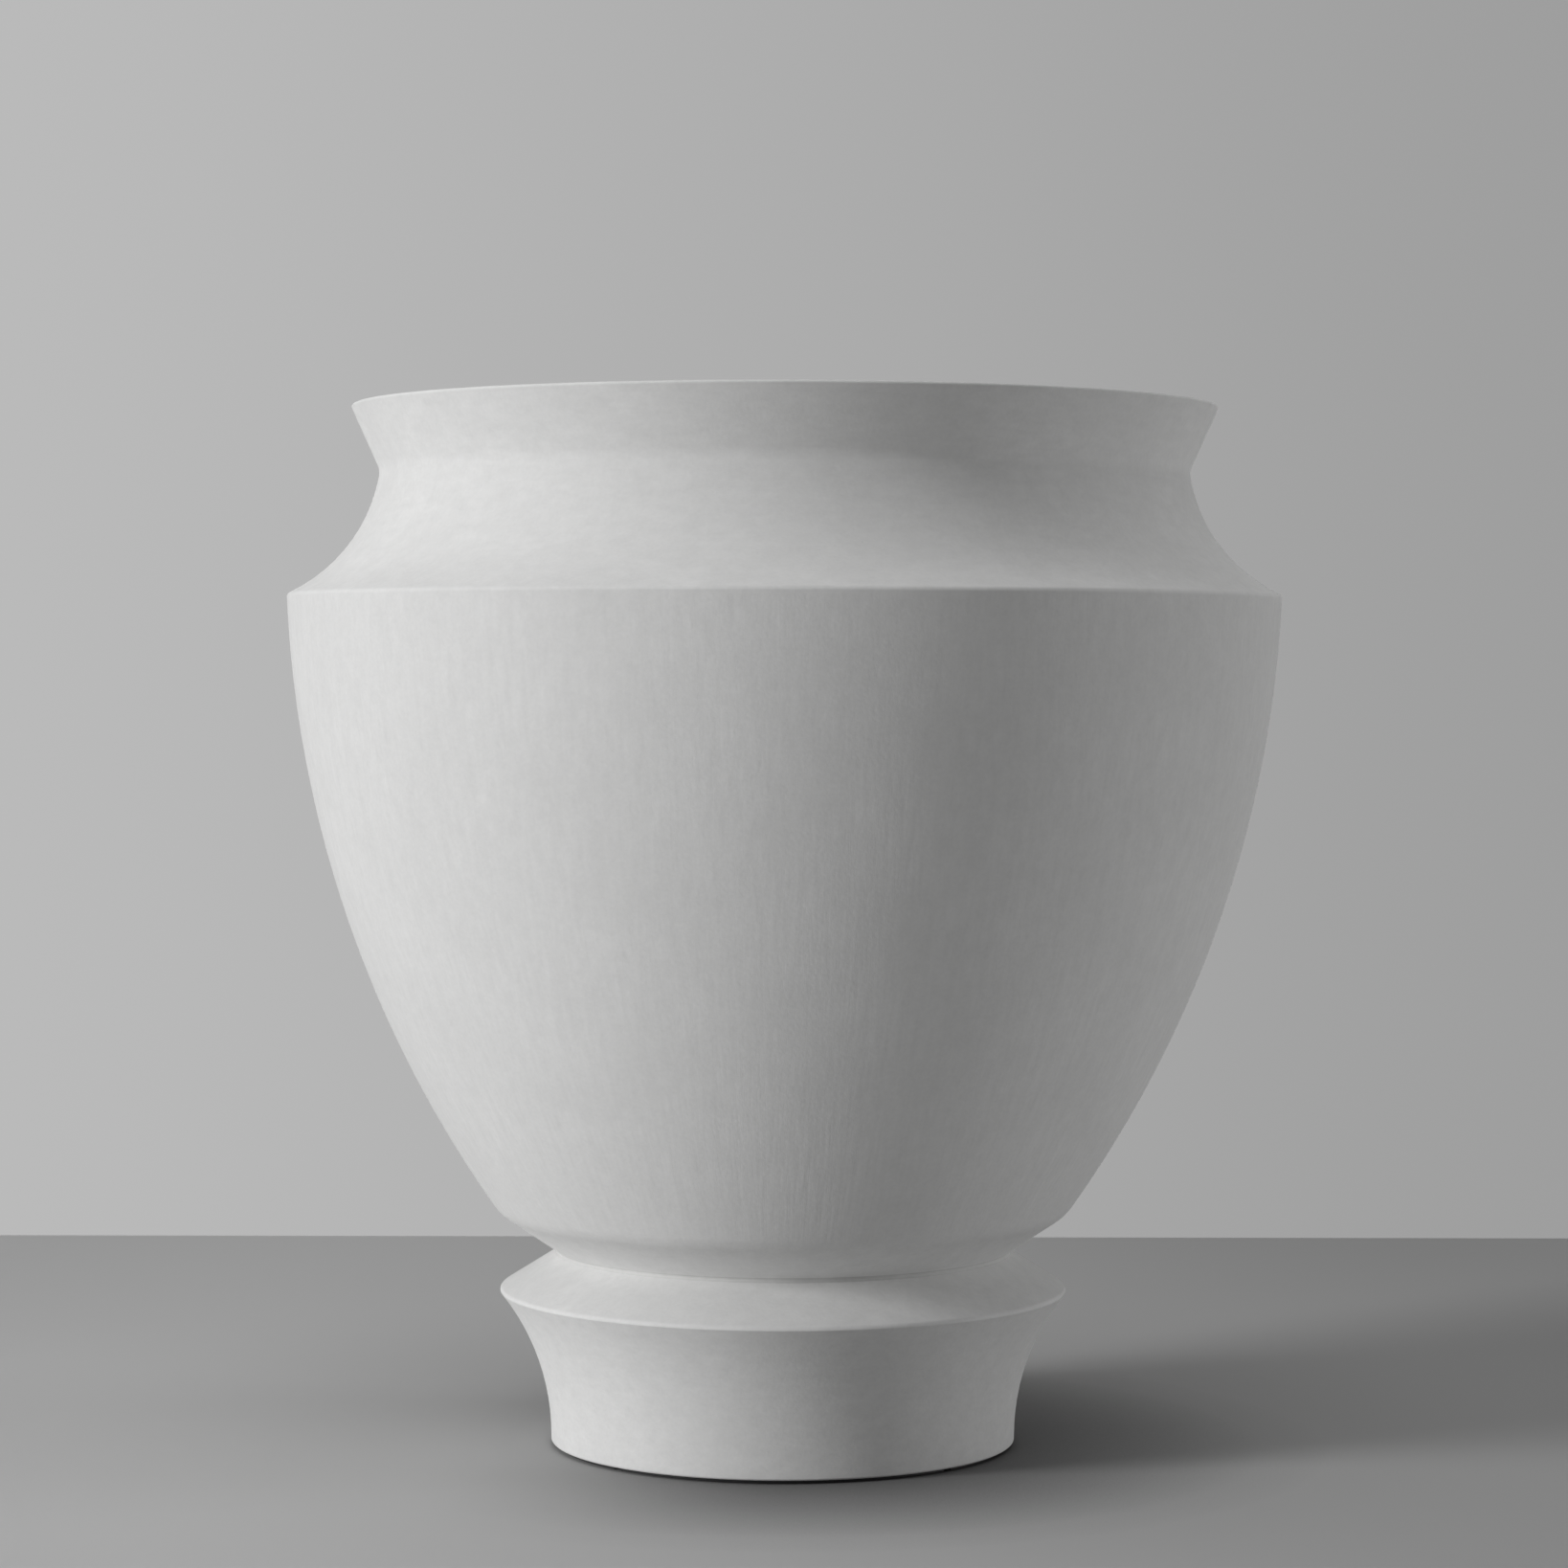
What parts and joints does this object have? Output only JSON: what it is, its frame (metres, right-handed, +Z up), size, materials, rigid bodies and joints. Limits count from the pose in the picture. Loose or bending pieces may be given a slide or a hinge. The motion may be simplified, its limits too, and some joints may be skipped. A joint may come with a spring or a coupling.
{
  "type": "pedestal urn",
  "caption": "Round pedestal urn planter with a flared rim, sharp shoulder, tapering bowl and waisted foot, clamped together by a plugged drain fitting.",
  "frame": {"origin": "on the floor, under the middle of the urn", "axes": "+Z up along the urn's axis, which is its axis of symmetry; -Y faces the viewer of the picture"},
  "size_m": [0.611, 0.611, 0.6405],
  "materials": {
    "cast_cement": "matte",
    "black_rubber": "matte",
    "grey_nylon": "satin"
  },
  "bodies": {
    "vessel": {"bowl": "cast_cement", "foot": "cast_cement", "joint_ring": "black_rubber", "joint_pointing": "cast_cement", "drain_body": "grey_nylon", "drain_upper_seal": "black_rubber", "drain_lower_seal": "black_rubber", "drain_nut": "grey_nylon", "foot_pad_1": "black_rubber", "foot_pad_2": "black_rubber", "foot_pad_3": "black_rubber", "foot_pad_4": "black_rubber"},
    "plug": {"drain_plug": "black_rubber"}
  },
  "joints": [
    {"name": "plug_lift", "type": "slide", "parent": "vessel", "child": "plug", "axis": [0, 0, 1], "range_m": [0, 0.53]}
  ]
}
